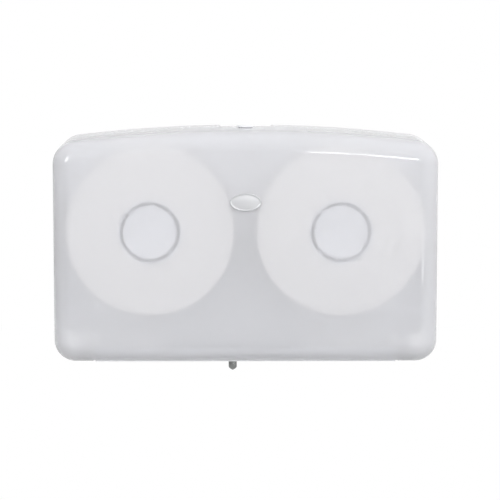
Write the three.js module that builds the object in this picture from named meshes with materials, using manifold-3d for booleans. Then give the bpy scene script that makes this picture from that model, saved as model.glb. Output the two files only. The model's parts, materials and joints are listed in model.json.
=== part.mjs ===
// Double roll toilet paper dispenser for a wall, in millimetres, with +Z up.
// The origin is the middle of the back plate's rear face, on the wall. The front faces -Y, so a depth is -y.
import * as THREE from "three";
import { mergeVertices } from "three/addons/utils/BufferGeometryUtils.js";
import Module from "manifold-3d";

const wasm = await Module();
wasm.setup();

// Fits shared by all pieces
const seatGap = 0.3;
const overrun = 10;
const mergeDistance = 0.0005;

// Cover: a deep shell with an arched top, open at the back
const coverWidth = 508;
const coverHeight = 310;
const coverDepth = 135;
const coverWall = 2.6;
const coverBackDepth = 2.5;
const crownRadius = 1930;
const topCornerRadius = 31;
const bottomCornerRadius = 29;
const frontEdgeRadius = 25;
const topFall = 6;
const sideFall = 2;
const bottomRise = 1.3;
const crownSteps = 16;
const cornerSteps = 8;
const edgeSteps = 6;

// Notch in the cover's top wall, wider at the wall
const notchRearWidth = 72;
const notchFrontWidth = 65;
const notchDepth = 24;

// Oval plaque on the cover's front
const badgeWidth = 41;
const badgeHeight = 23;
const badgeThickness = 1.6;
const badgeBevel = 0.5;
const badgeDrop = 97;
const badgeSteps = 14;

// Back plate, which the cover's rear edge goes round
const plateThickness = 3;
const plateClearance = 1.2;
const plateRimDepth = 14;
const plateRimWall = 2.2;
const plateBottomRise = 21;
const plateBottomCorner = 20;
const plateRimGapMargin = 20;
const plateRimGapHeight = 12;
const slotSideMargin = 49;
const slotTopMargin = 50;
const slotBottomMargin = 60;
const slotWidth = 5.5;
const slotHeight = 13;
const slotSteps = 8;

// Paper rolls on their hubs and axles, with the room round them in the cover
const rollMiddleGap = 30;
const rollSideGap = 17;
const rollTopGap = 28;
const rollBottomGap = 60;
const rollFrontGap = 27;
const rollEdgeRound = 1.5;
const coreBore = 80;
const coreWall = 2.4;
const rollSteps = 48;
const hubRadius = 35;
const hubWall = 3;
const hubFlangeRadius = 46;
const hubFlangeWall = 3;
const hubSleeveWall = 3.5;
const hubProud = 1;
const hubRibClearance = 0.6;
const hubRibWidth = 4;
const hubRibSetback = 5;
const hubRibs = 4;
const hubSteps = 36;
const hubBoreDepth = 6;
const axleRadius = 8;
const axleClearance = 0.4;
const axleChamfer = 1.5;
const axleEndPlay = 2;
const bossRadius = 15;
const bossHeight = 6;
const hubBossGap = 3.7;
const axleScrewHeadRadius = 5.5;
const axleScrewHeadHeight = 2.6;
const axleScrewRadius = 2.4;
const axleScrewReach = 22;
const axleSteps = 24;

// Bottom tray with the two paper outlets
const trayEndMargin = 56;
const trayFrontMargin = 19;
const trayHeight = 17;
const trayWall = 2.2;
const trayRise = 1;
const trayLedge = 4;
const trayLedgeHeight = 2;
const trayClearance = 3;
const bridgeWidth = 16;
const bridgeHeight = 2.2;
const bridgeRise = 10;
const trayScrewMargin = 33;
const trayScrewRise = 7;

// Saw-toothed tear strips at the outer end of each outlet
const tearThickness = 0.8;
const tearHeight = 8;
const toothHeight = 2.4;
const tearTeeth = 28;
const tearEndGap = 1;

// Selector slide that closes one outlet or the other, and its knob
const slideShortfall = 8;
const slideThickness = 2.5;
const slideOffset = -17;
const slideRibHeight = 3.5;
const slideRibWidth = 2.5;
const knobFrontMargin = 21;
const knobRadius = 5.5;
const knobNeckRadius = 4.2;
const knobNeckHeight = 1.2;
const knobStraight = 10;
const knobTip = 6;
const knobTipSteps = 5;
const knobTipPower = 1.4;
const knobStudRadius = 2;
const knobNutRadius = 4.4;
const knobNutHeight = 2.6;
const knobSteps = 18;

// Hinge of the cover, low at the wall
const hingeDepth = 14;
const hingeRise = 7.5;
const hingeTrayGap = 20;
const hingeWidth = 20;
const lugWidth = 8;
const lugRadius = 4.2;
const lugSideGap = 0.5;
const hingePinRadius = 2;
const hingePinHeadRadius = 3.4;
const hingePinHeadHeight = 1.2;
const bracketFoot = 3;
const bracketFootHeight = 24;
const bracketArmHeight = 6;
const bracketArmRise = 17.5;
const bracketScrewSpacing = 11;
const bracketScrewDrop = 7;

// Small pan-head screws
const screwRadius = 1.6;
const screwHeadRadius = 3;
const screwHeadHeight = 1.8;
const screwPointGap = 0.5;
const screwDomeShare = 0.35;
const screwSteps = 12;

// Quarter-turn lock in the cover's top and the catch it hooks behind
const lockDepth = 50;
const lockHeadRadius = 11;
const lockHeadHeight = 1.3;
const lockBarrelRadius = 8;
const lockBarrelLength = 17;
const lockPlugRadius = 6;
const lockPlugReach = 3;
const lockNutRadius = 12;
const lockNutHeight = 4;
const keySlotWidth = 1.6;
const keySlotLength = 8;
const keySlotDepth = 6;
const camThickness = 2.5;
const camWidth = 10;
const camReach = 26;
const camHookThickness = 4;
const camHookWidth = 6;
const camHookDrop = 12;
const camScrewReach = 8;
const catchWidth = 14;
const catchThickness = 3;
const catchPlay = 2;
const catchTopGap = 1.7;
const catchHeight = 18;
const catchFootWidth = 30;
const catchFootHeight = 22;
const catchFootThickness = 2.5;
const catchScrewSpacing = 18;
const lockSteps = 24;

// Levels and depths that several pieces share
const coverTop = coverHeight / 2;
const coverBottom = -coverHeight / 2;
const hingeLevel = coverBottom + hingeRise;
const plateBottom = coverBottom + plateBottomRise;
const trayWidth = coverWidth - trayEndMargin * 2;
const trayFrontDepth = coverDepth - trayFrontMargin;
const trayBottom = coverBottom + trayRise;
const trayTop = trayBottom + trayHeight;
const trayRearDepth = plateThickness + seatGap;
const slideBottom = trayBottom + trayLedgeHeight + seatGap;
const slideTop = slideBottom + slideThickness;
const slideWidth = trayWidth / 2 - slideShortfall;
const knobDepth = trayFrontDepth - knobFrontMargin;
const hingeSpacing = trayWidth + hingeTrayGap * 2;
const rollBackDepth = plateThickness + bossHeight + hubBossGap + hubFlangeWall + seatGap;
const rollFrontDepth = coverDepth - rollFrontGap;
const hubFrontDepth = rollFrontDepth + hubProud;
const hubRearDepth = rollBackDepth - seatGap - hubFlangeWall;
const axleRearDepth = plateThickness + bossHeight + seatGap;
const hubBoreEnd = hubFrontDepth - hubBoreDepth;
const screwHoleRadius = screwRadius + seatGap;

// The rolls are as large as the cover's width and height both allow
const rollByWidth = (coverWidth - rollMiddleGap - rollSideGap * 2) / 4;
const rollByHeight = (coverHeight - rollTopGap - rollBottomGap) / 2;
const rollRadius = Math.min(rollByWidth, rollByHeight);
const rollRise = coverBottom + rollBottomGap + rollRadius;
const rollSpacing = coverWidth - (rollSideGap + rollRadius) * 2;

const material = (color, roughness, metalness = 0) =>
  new THREE.MeshStandardMaterial({ color, roughness, metalness });
const coverPlastic = new THREE.MeshStandardMaterial({
  color: "#e6e9f0", roughness: 0.25, metalness: 0, transparent: true, opacity: 0.45,
});
const whitePlastic = material("#e9eaec", 0.45);
const greyPlastic = material("#c9ccd2", 0.4);
const paper = material("#f7f5f0", 0.95);
const card = material("#b9b3a8", 0.9);
const chrome = material("#b8babd", 0.15, 1);
const steel = material("#a9abad", 0.35, 1);
const badgeMetal = material("#a7a9ac", 0.3, 1);

// A closed manifold solid from any closed three.js geometry
function solidOf(geometry) {
  const bare = geometry.clone();
  for (const name of Object.keys(bare.attributes)) {
    if (name !== "position") bare.deleteAttribute(name);
  }
  const merged = mergeVertices(bare, mergeDistance);
  const corners = [];
  for (let i = 0; i < merged.index.count; i += 3) {
    const [a, b, c] = [0, 1, 2].map((k) => merged.index.getX(i + k));
    if (a !== b && b !== c && c !== a) corners.push(a, b, c);
  }
  return new wasm.Manifold(new wasm.Mesh({
    numProp: 3,
    vertProperties: Float32Array.from(merged.attributes.position.array),
    triVerts: Uint32Array.from(corners),
  }));
}

function geometryOf(solid) {
  const mesh = solid.getMesh();
  const geometry = new THREE.BufferGeometry();
  geometry.setAttribute("position", new THREE.BufferAttribute(mesh.vertProperties, 3));
  geometry.setIndex(new THREE.BufferAttribute(mesh.triVerts, 1));
  geometry.computeVertexNormals();
  return geometry;
}

const joined = (solids) => solids.reduce((whole, next) => whole.add(next));
const cut = (solid, tools) => tools.reduce((whole, tool) => whole.subtract(tool), solid);

// A block between two x, two depths and two levels
function block(x0, x1, depth0, depth1, z0, z1) {
  const box = new THREE.BoxGeometry(x1 - x0, depth1 - depth0, z1 - z0);
  return solidOf(box.translate((x0 + x1) / 2, -(depth0 + depth1) / 2, (z0 + z1) / 2));
}

// A round solid about the Y axis, from [radius, depth] pairs that start and end on the axis or close a ring
function turned(profile, steps, ring = false) {
  const points = profile.map(([radius, depth]) => new THREE.Vector2(radius, -depth));
  if (THREE.ShapeUtils.area(points) < 0) points.reverse();
  if (ring) points.push(points[0].clone());
  return solidOf(new THREE.LatheGeometry(points, steps));
}

// The same about the Z axis, from [radius, level] pairs
function turnedUpright(profile, steps, ring = false) {
  const flat = profile.map(([radius, level]) => [radius, -level]);
  return turned(flat, steps, ring).rotate([90, 0, 0]);
}

// The same about the X axis, from [radius, x] pairs
function turnedAcross(profile, steps) {
  const flat = profile.map(([radius, x]) => [radius, -x]);
  return turned(flat, steps).rotate([0, 0, -90]);
}

const plainRod = (radius, from, to) => [[0, from], [radius, from], [radius, to], [0, to]];

// A flat outline of [x, z] points, drawn out from one depth to another
function plateOf(points, depth0, depth1) {
  const shape = new THREE.Shape(points.map(([x, z]) => new THREE.Vector2(x, z)));
  const slab = new THREE.ExtrudeGeometry(shape, { depth: depth1 - depth0, bevelEnabled: false });
  return solidOf(slab.rotateX(Math.PI / 2).translate(0, -depth0, 0));
}

// A side outline of [depth, z] points, drawn out along x
function sideOf(points, x0, x1) {
  const shape = new THREE.Shape(points.map(([depth, z]) => new THREE.Vector2(depth, z)));
  const slab = new THREE.ExtrudeGeometry(shape, { depth: x1 - x0, bevelEnabled: false });
  return solidOf(slab.rotateX(Math.PI / 2).rotateZ(-Math.PI / 2).translate(x1, 0, 0));
}

function arc(centreX, centreZ, radius, from, to, steps) {
  return Array.from({ length: steps + 1 }, (_, i) => {
    const angle = from + (to - from) * (i / steps);
    return [centreX + radius * Math.cos(angle), centreZ + radius * Math.sin(angle)];
  });
}

// The arched outline, clockwise from the front, drawn in all round by an inset
function archedOutline(half, top, bottom, lowerCorner, inset) {
  const crown = crownRadius - inset;
  const upper = topCornerRadius - inset;
  const lower = lowerCorner - inset;
  const side = half - inset;
  const crownZ = top - crownRadius;
  const upperX = side - upper;
  const upperZ = crownZ + Math.sqrt((crown - upper) ** 2 - upperX ** 2);
  const lean = Math.atan2(upperZ - crownZ, upperX);
  const lowerZ = bottom + inset + lower;
  return [
    ...arc(0, crownZ, crown, Math.PI - lean, lean, crownSteps),
    ...arc(upperX, upperZ, upper, lean, 0, cornerSteps).slice(1),
    ...arc(side - lower, lowerZ, lower, 0, -Math.PI / 2, cornerSteps),
    ...arc(lower - side, lowerZ, lower, -Math.PI / 2, -Math.PI, cornerSteps),
    ...arc(-upperX, upperZ, upper, Math.PI, Math.PI - lean, cornerSteps).slice(0, -1),
  ];
}

// A closed body through outlines of equal count, from the rearmost to the foremost
function loft(rings) {
  const count = rings[0].points.length;
  const places = [];
  const faces = [];
  for (const { points, depth } of rings) {
    for (const [x, z] of points) places.push(x, -depth, z);
  }
  for (let ring = 0; ring + 1 < rings.length; ring += 1) {
    for (let i = 0; i < count; i += 1) {
      const next = (i + 1) % count;
      const [a, b] = [ring * count + i, ring * count + next];
      faces.push(a, b + count, b, a, a + count, b + count);
    }
  }
  const last = (rings.length - 1) * count;
  const [rear, front] = [rings[0], rings[rings.length - 1]];
  const rearMiddle = places.length / 3;
  for (const { points, depth } of [rear, front]) {
    const z = points.reduce((sum, point) => sum + point[1], 0) / count;
    places.push(0, -depth, z);
  }
  for (let i = 0; i < count; i += 1) {
    const next = (i + 1) % count;
    faces.push(rearMiddle, i, next, rearMiddle + 1, last + next, last + i);
  }
  const geometry = new THREE.BufferGeometry();
  geometry.setAttribute("position", new THREE.Float32BufferAttribute(places, 3));
  geometry.setIndex(faces);
  return solidOf(geometry);
}

const topAt = (depth) => coverTop - topFall * (depth / coverDepth);
const bottomAt = (depth) => coverBottom + bottomRise * (depth / coverDepth);
const halfAt = (depth) => coverWidth / 2 - sideFall * (depth / coverDepth);

function coverRing(depth, inset) {
  return {
    depth,
    points: archedOutline(halfAt(depth), topAt(depth), bottomAt(depth), bottomCornerRadius, inset),
  };
}

// The cover's outer body, or the hollow in it, from a rear depth to the rounded front edge
function coverBody(rearDepth, inset) {
  const rounding = frontEdgeRadius - inset;
  const straightEnd = coverDepth - frontEdgeRadius;
  const rings = [coverRing(rearDepth, inset)];
  for (let i = 0; i <= edgeSteps; i += 1) {
    const angle = (Math.PI / 2) * (i / edgeSteps);
    rings.push(coverRing(straightEnd + rounding * Math.sin(angle), inset + rounding * (1 - Math.cos(angle))));
  }
  return loft(rings);
}

const sides = [{ name: "left", sign: -1 }, { name: "right", sign: 1 }];

function hingeLug(sign) {
  const middle = sign * (hingeSpacing / 2);
  const [x0, x1] = [middle - lugWidth / 2, middle + lugWidth / 2];
  const eye = turnedAcross(plainRod(lugRadius, x0, x1), screwSteps).translate([0, -hingeDepth, hingeLevel]);
  const foot = block(
    x0, x1, hingeDepth - lugRadius, hingeDepth + lugRadius,
    bottomAt(hingeDepth) + coverWall / 2, hingeLevel,
  );
  return eye.add(foot);
}

function hingeBore(sign) {
  const middle = sign * (hingeSpacing / 2);
  const reach = hingeWidth / 2 + overrun;
  const rod = plainRod(hingePinRadius + seatGap, middle - reach, middle + reach);
  return turnedAcross(rod, screwSteps).translate([0, -hingeDepth, hingeLevel]);
}

function frontCover() {
  const shell = coverBody(coverBackDepth, 0).subtract(coverBody(-overrun, coverWall));
  const notchEnd = notchDepth + coverBackDepth;
  const notch = solidOf(
    new THREE.ExtrudeGeometry(
      new THREE.Shape([
        new THREE.Vector2(-notchRearWidth / 2, overrun),
        new THREE.Vector2(-notchRearWidth / 2, -coverBackDepth),
        new THREE.Vector2(-notchFrontWidth / 2, -notchEnd),
        new THREE.Vector2(notchFrontWidth / 2, -notchEnd),
        new THREE.Vector2(notchRearWidth / 2, -coverBackDepth),
        new THREE.Vector2(notchRearWidth / 2, overrun),
      ]),
      { depth: overrun * 2, bevelEnabled: false },
    ).translate(0, 0, coverTop - overrun),
  );
  const outletHalf = trayWidth / 2 + trayClearance;
  const outlet = block(
    -outletHalf, outletHalf, -overrun, trayFrontDepth + trayClearance,
    coverBottom - overrun, hingeLevel,
  );
  const lockHole = turnedUpright(
    plainRod(lockBarrelRadius + seatGap, topAt(lockDepth) - overrun, coverTop + overrun), lockSteps,
  ).translate([0, -lockDepth, 0]);
  const whole = joined([cut(shell, [notch, outlet, lockHole]), ...sides.map(({ sign }) => hingeLug(sign))]);
  return cut(whole, sides.map(({ sign }) => hingeBore(sign)));
}

function badge() {
  const outline = new THREE.Shape();
  outline.absellipse(0, 0, badgeWidth / 2 - badgeBevel, badgeHeight / 2 - badgeBevel, 0, Math.PI * 2);
  const plaque = new THREE.ExtrudeGeometry(outline, {
    depth: badgeThickness - badgeBevel,
    bevelEnabled: true,
    bevelThickness: badgeBevel,
    bevelSize: badgeBevel,
    bevelSegments: 2,
    curveSegments: badgeSteps,
  });
  const body = solidOf(plaque.rotateX(Math.PI / 2));
  const keep = block(-badgeWidth, badgeWidth, 0, badgeThickness, -badgeHeight, badgeHeight);
  return body.intersect(keep).translate([0, -coverDepth - seatGap, coverTop - badgeDrop]);
}

function plateRing(depth, inset) {
  const margin = coverWall + plateClearance + inset;
  const half = halfAt(plateRimDepth);
  return {
    depth,
    points: archedOutline(
      half, topAt(plateRimDepth), plateBottom - coverWall - plateClearance,
      plateBottomCorner + coverWall + plateClearance, margin,
    ),
  };
}

function screwBore(radius, x, z, depth0, depth1) {
  return turned(plainRod(radius, depth0, depth1), screwSteps).translate([x, 0, z]);
}

function mountingSlot(x, z) {
  const half = slotWidth / 2;
  const rise = (slotHeight - slotWidth) / 2;
  const points = [
    ...arc(x, z + rise, half, 0, Math.PI, slotSteps),
    ...arc(x, z - rise, half, Math.PI, Math.PI * 2, slotSteps),
  ];
  return plateOf(points, -overrun, plateThickness + overrun);
}

const trayScrewSpan = trayWidth - trayScrewMargin * 2;
const trayScrews = [-1 / 2, -1 / 6, 1 / 6, 1 / 2].map((share) => [
  share * trayScrewSpan,
  plateBottom + trayScrewRise,
]);
const bracketTop = hingeLevel + bracketArmRise + bracketFootHeight;
const bracketScrews = sides.flatMap(({ sign }) =>
  [-0.5, 0.5].map((share) => [
    sign * (hingeSpacing / 2) + share * bracketScrewSpacing,
    bracketTop - bracketScrewDrop,
  ]));

const lockHeadBottom = topAt(lockDepth - lockHeadRadius) + seatGap;
const lockHeadTop = lockHeadBottom + lockHeadHeight;
const plugBottom = lockHeadTop - lockBarrelLength - lockPlugReach;
const camTop = plugBottom - seatGap;
const camBottom = camTop - camThickness;
const catchTop = camBottom - catchTopGap;
const catchBottom = catchTop - catchHeight;
const catchRearDepth = lockDepth - camReach + camHookThickness + catchPlay;
const catchFrontDepth = catchRearDepth + catchThickness;
const catchScrews = [-0.5, 0.5].map((share) => [
  share * catchScrewSpacing,
  catchBottom + catchThickness + catchFootHeight / 2,
]);

function backPlate() {
  const rimGapHalf = coverWidth / 2 - plateRimGapMargin;
  const slab = loft([plateRing(0, 0), plateRing(plateThickness, 0)]);
  const rim = loft([plateRing(0, 0), plateRing(plateRimDepth, 0)])
    .subtract(loft([plateRing(-overrun, plateRimWall), plateRing(plateRimDepth + overrun, plateRimWall)]))
    .subtract(block(
      -rimGapHalf, rimGapHalf, plateThickness, plateRimDepth + overrun,
      plateBottom - overrun, plateBottom + plateRimGapHeight,
    ));
  const bosses = sides.map(({ sign }) =>
    turned(plainRod(bossRadius, 0, plateThickness + bossHeight), axleSteps)
      .translate([sign * (rollSpacing / 2), 0, rollRise]));
  const axleHoles = sides.flatMap(({ sign }) => {
    const x = sign * (rollSpacing / 2);
    const recess = axleScrewHeadHeight + seatGap * 2;
    return [
      screwBore(axleScrewRadius + seatGap, x, rollRise, -overrun, plateRimDepth + overrun),
      screwBore(axleScrewHeadRadius + seatGap, x, rollRise, -overrun, recess),
    ];
  });
  const smallHoles = [...trayScrews, ...bracketScrews, ...catchScrews].map(([x, z]) =>
    screwBore(screwHoleRadius, x, z, -overrun, plateThickness + overrun));
  const slots = sides.flatMap(({ sign }) =>
    [coverTop - slotTopMargin, coverBottom + slotBottomMargin].map((z) =>
      mountingSlot(sign * (coverWidth / 2 - slotSideMargin), z)));
  return cut(joined([slab, rim, ...bosses]), [...axleHoles, ...smallHoles, ...slots]);
}

// A pan-head screw whose head bears on a face at this depth and whose point goes back to the wall
function panScrew(x, z, faceDepth) {
  const under = faceDepth + seatGap;
  const head = under + screwHeadHeight;
  const profile = [
    [0, screwPointGap], [screwRadius, screwPointGap], [screwRadius, under], [screwHeadRadius, under],
    [screwHeadRadius, head - screwHeadHeight * screwDomeShare],
    [screwHeadRadius * (1 - screwDomeShare), head], [0, head],
  ];
  return turned(profile, screwSteps).translate([x, 0, z]);
}

function axle(sign) {
  const end = hubBoreEnd - axleEndPlay;
  const bore = axleScrewReach + axleEndPlay;
  const boreRadius = axleScrewRadius + seatGap;
  const profile = [
    [0, bore], [boreRadius, bore], [boreRadius, axleRearDepth], [axleRadius, axleRearDepth],
    [axleRadius, end - axleChamfer], [axleRadius - axleChamfer, end], [0, end],
  ];
  return turned(profile, axleSteps).translate([sign * (rollSpacing / 2), 0, rollRise]);
}

function axleScrew(sign) {
  const headEnd = axleScrewHeadHeight + seatGap;
  const profile = [
    [0, seatGap], [axleScrewHeadRadius, seatGap], [axleScrewHeadRadius, headEnd], [axleScrewRadius, headEnd],
    [axleScrewRadius, axleScrewReach], [0, axleScrewReach],
  ];
  return turned(profile, screwSteps).translate([sign * (rollSpacing / 2), 0, rollRise]);
}

function hub(sign) {
  const bore = axleRadius + axleClearance;
  const sleeve = bore + hubSleeveWall;
  const inner = hubRadius - hubWall;
  const flangeFront = hubRearDepth + hubFlangeWall;
  const profile = [
    [0, hubFrontDepth], [hubRadius, hubFrontDepth], [hubRadius, flangeFront], [hubFlangeRadius, flangeFront],
    [hubFlangeRadius, hubRearDepth], [inner, hubRearDepth], [inner, hubFrontDepth - hubWall],
    [sleeve, hubFrontDepth - hubWall], [sleeve, hubRearDepth], [bore, hubRearDepth], [bore, hubBoreEnd],
    [0, hubBoreEnd],
  ];
  const ribReach = coreBore / 2 - hubRibClearance;
  const rib = block(
    hubRadius - hubWall / 2, ribReach, flangeFront - hubFlangeWall / 2, rollFrontDepth - hubRibSetback,
    -hubRibWidth / 2, hubRibWidth / 2,
  );
  const ribs = Array.from({ length: hubRibs }, (_, i) => rib.rotate([0, (360 * (i + 0.5)) / hubRibs, 0]));
  return joined([turned(profile, hubSteps), ...ribs]).translate([sign * (rollSpacing / 2), 0, rollRise]);
}

// A ring with square or rounded outer edges, from the roll's rear to its front
function rollRing(innerRadius, outerRadius, round) {
  const near = outerRadius - round;
  const profile = [[innerRadius, rollBackDepth], [near, rollBackDepth]];
  if (round > 0) profile.push([outerRadius, rollBackDepth + round], [outerRadius, rollFrontDepth - round]);
  profile.push([near, rollFrontDepth], [innerRadius, rollFrontDepth]);
  return turned(profile, rollSteps, true);
}

const core = (sign) =>
  rollRing(coreBore / 2, coreBore / 2 + coreWall, 0).translate([sign * (rollSpacing / 2), 0, rollRise]);
const paperRoll = (sign) =>
  rollRing(coreBore / 2 + coreWall + seatGap, rollRadius, rollEdgeRound)
    .translate([sign * (rollSpacing / 2), 0, rollRise]);

function outletTray() {
  const half = trayWidth / 2;
  const inner = half - trayWall;
  const rearInner = trayRearDepth + trayWall;
  const frontInner = trayFrontDepth - trayWall;
  const flangeTop = plateBottom + trayScrewRise * 2;
  const bridgeBottom = trayBottom + bridgeRise;
  const walls = [
    block(-half, half, trayRearDepth, rearInner, trayBottom, flangeTop),
    block(-half, half, frontInner, trayFrontDepth, trayBottom, trayTop),
    block(-half, -inner, trayRearDepth, trayFrontDepth, trayBottom, trayTop),
    block(inner, half, trayRearDepth, trayFrontDepth, trayBottom, trayTop),
    block(-half, half, trayRearDepth, rearInner + trayLedge, trayBottom, trayBottom + trayLedgeHeight),
    block(-half, half, frontInner - trayLedge, trayFrontDepth, trayBottom, trayBottom + trayLedgeHeight),
    block(
      -bridgeWidth / 2, bridgeWidth / 2, trayRearDepth, trayFrontDepth,
      bridgeBottom, bridgeBottom + bridgeHeight,
    ),
  ];
  const bores = trayScrews.map(([x, z]) => screwBore(screwHoleRadius, x, z, -overrun, rearInner + overrun));
  return cut(joined(walls), bores);
}

// A steel strip with a saw-toothed lower edge, flat against the end wall of the tray
function tearStrip(sign) {
  const from = trayRearDepth + trayWall + trayLedge + tearEndGap;
  const to = trayFrontDepth - trayWall - trayLedge - tearEndGap;
  const top = trayTop - tearEndGap;
  const root = top - tearHeight;
  const pitch = (to - from) / tearTeeth;
  const points = [[from, root], [from, top], [to, top], [to, root]];
  for (let tooth = tearTeeth - 1; tooth >= 0; tooth -= 1) {
    points.push([from + pitch * (tooth + 0.5), root - toothHeight]);
    if (tooth > 0) points.push([from + pitch * tooth, root]);
  }
  const face = sign * (trayWidth / 2 - trayWall - seatGap);
  const back = face - sign * tearThickness;
  return sideOf(points, Math.min(face, back), Math.max(face, back));
}

function selectorSlide() {
  const half = slideWidth / 2;
  const from = trayRearDepth + trayWall + seatGap;
  const to = trayFrontDepth - trayWall - seatGap;
  const ribTop = slideTop + slideRibHeight;
  const pieces = [
    block(-half, half, from, to, slideBottom, slideTop),
    block(-half, half, from, from + slideRibWidth, slideBottom, ribTop),
    block(-half, half, to - slideRibWidth, to, slideBottom, ribTop),
  ];
  const stud = turnedUpright(
    plainRod(knobStudRadius + seatGap, slideBottom - overrun, slideTop + overrun), screwSteps,
  ).translate([0, -knobDepth, 0]);
  return joined(pieces).subtract(stud).translate([slideOffset, 0, 0]);
}

const slideUnderside = slideBottom - seatGap;

function slideKnob() {
  const neckBottom = slideUnderside - knobNeckHeight;
  const straightEnd = neckBottom - knobStraight;
  const profile = [
    [0, slideTop + knobNutHeight + seatGap * 2],
    [knobStudRadius, slideTop + knobNutHeight + seatGap * 2],
    [knobStudRadius, slideUnderside],
    [knobNeckRadius, slideUnderside],
    [knobNeckRadius, neckBottom],
    [knobRadius, neckBottom],
  ];
  for (let i = 0; i < knobTipSteps; i += 1) {
    const share = i / knobTipSteps;
    const radius = knobRadius * Math.cos((Math.PI / 2) * share ** knobTipPower);
    profile.push([radius, straightEnd - knobTip * share]);
  }
  profile.push([0, straightEnd - knobTip]);
  return turnedUpright(profile, knobSteps).translate([slideOffset, -knobDepth, 0]);
}

function hexNut(radius, bore, bottom, height) {
  const body = turnedUpright(plainRod(radius, bottom, bottom + height), 6);
  return body.subtract(turnedUpright(plainRod(bore, bottom - overrun, bottom + overrun), lockSteps));
}

const knobNut = () =>
  hexNut(knobNutRadius, knobStudRadius + seatGap, slideTop + seatGap, knobNutHeight)
    .translate([slideOffset, -knobDepth, 0]);

function hingeBracket(sign) {
  const middle = sign * (hingeSpacing / 2);
  const rear = plateThickness + seatGap;
  const foot = rear + bracketFoot;
  const armTop = hingeLevel + bracketArmRise + bracketArmHeight;
  const armBottom = hingeLevel + bracketArmRise;
  const outline = [
    [rear, bracketTop], [rear, armBottom], [hingeDepth - lugRadius, armBottom],
    ...arc(hingeDepth, hingeLevel, lugRadius, Math.PI, Math.PI * 2, cornerSteps),
    [hingeDepth + lugRadius, armTop], [foot, armTop], [foot, bracketTop],
  ];
  const body = sideOf(outline, middle - hingeWidth / 2, middle + hingeWidth / 2);
  const slotHalf = lugWidth / 2 + lugSideGap;
  const slot = block(
    middle - slotHalf, middle + slotHalf, -overrun, hingeDepth + lugRadius + overrun,
    hingeLevel - lugRadius - overrun, armBottom - seatGap,
  );
  const bores = bracketScrews
    .filter(([x]) => x * sign > 0)
    .map(([x, z]) => screwBore(screwHoleRadius, x, z, -overrun, foot + overrun));
  return cut(body, [slot, hingeBore(sign), ...bores]);
}

function hingePin(sign) {
  const outer = hingeWidth / 2 + seatGap;
  const profile = [
    [0, -outer], [hingePinRadius, -outer], [hingePinRadius, outer], [hingePinHeadRadius, outer],
    [hingePinHeadRadius, outer + hingePinHeadHeight], [0, outer + hingePinHeadHeight],
  ].map(([radius, x]) => [radius, -sign * x]);
  return turnedAcross(profile, screwSteps)
    .translate([sign * (hingeSpacing / 2), -hingeDepth, hingeLevel]);
}

function lockBarrel() {
  const bore = lockPlugRadius + seatGap;
  const bottom = lockHeadTop - lockBarrelLength;
  const profile = [
    [bore, lockHeadTop], [lockHeadRadius, lockHeadTop], [lockHeadRadius, lockHeadBottom],
    [lockBarrelRadius, lockHeadBottom], [lockBarrelRadius, bottom], [bore, bottom],
  ];
  return turnedUpright(profile, lockSteps, true).translate([0, -lockDepth, 0]);
}

const lockNut = () =>
  hexNut(
    lockNutRadius, lockBarrelRadius + seatGap,
    topAt(lockDepth + lockNutRadius) - coverWall - seatGap - lockNutHeight, lockNutHeight,
  ).translate([0, -lockDepth, 0]);

function lockPlug() {
  const top = lockHeadTop - seatGap;
  const bore = screwRadius + seatGap;
  const boreTop = plugBottom + camScrewReach + seatGap;
  const profile = [
    [0, top], [lockPlugRadius, top], [lockPlugRadius, plugBottom], [bore, plugBottom], [bore, boreTop],
    [0, boreTop],
  ];
  const slot = block(
    -keySlotLength / 2, keySlotLength / 2, -keySlotWidth / 2, keySlotWidth / 2,
    top - keySlotDepth, top + overrun,
  );
  return turnedUpright(profile, lockSteps).subtract(slot).translate([0, -lockDepth, 0]);
}

// The cam at rest points along +X, clear of the catch
function lockCam() {
  const disc = turnedUpright(plainRod(lockBarrelRadius, camBottom, camTop), lockSteps);
  const arm = block(0, camReach, -camWidth / 2, camWidth / 2, camBottom, camTop);
  const hook = block(
    camReach - camHookThickness, camReach, -camHookWidth / 2, camHookWidth / 2,
    camBottom - camHookDrop, camTop,
  );
  const bore = turnedUpright(
    plainRod(screwRadius + seatGap, camBottom - overrun, camTop + overrun), screwSteps,
  );
  return joined([disc, arm, hook]).subtract(bore).translate([0, -lockDepth, 0]);
}

function camScrew() {
  const under = camBottom - seatGap;
  const profile = [
    [0, plugBottom + camScrewReach], [screwRadius, plugBottom + camScrewReach], [screwRadius, under],
    [screwHeadRadius, under], [screwHeadRadius, under - screwHeadHeight], [0, under - screwHeadHeight],
  ];
  return turnedUpright(profile, screwSteps).translate([0, -lockDepth, 0]);
}

function lockCatch() {
  const rear = plateThickness + seatGap;
  const footTop = catchBottom + catchThickness + catchFootHeight;
  const bores = catchScrews.map(([x, z]) =>
    screwBore(screwHoleRadius, x, z, -overrun, rear + catchFootThickness + overrun));
  const body = joined([
    block(-catchFootWidth / 2, catchFootWidth / 2, rear, rear + catchFootThickness, catchBottom, footTop),
    block(-catchWidth / 2, catchWidth / 2, rear, catchFrontDepth, catchBottom, catchBottom + catchThickness),
    block(-catchWidth / 2, catchWidth / 2, catchRearDepth, catchFrontDepth, catchBottom, catchTop),
  ]);
  return cut(body, bores);
}

const dispenser = new THREE.Group();

function place(name, solid, finish) {
  const mesh = new THREE.Mesh(geometryOf(solid), finish);
  mesh.name = name;
  dispenser.add(mesh);
}

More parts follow.
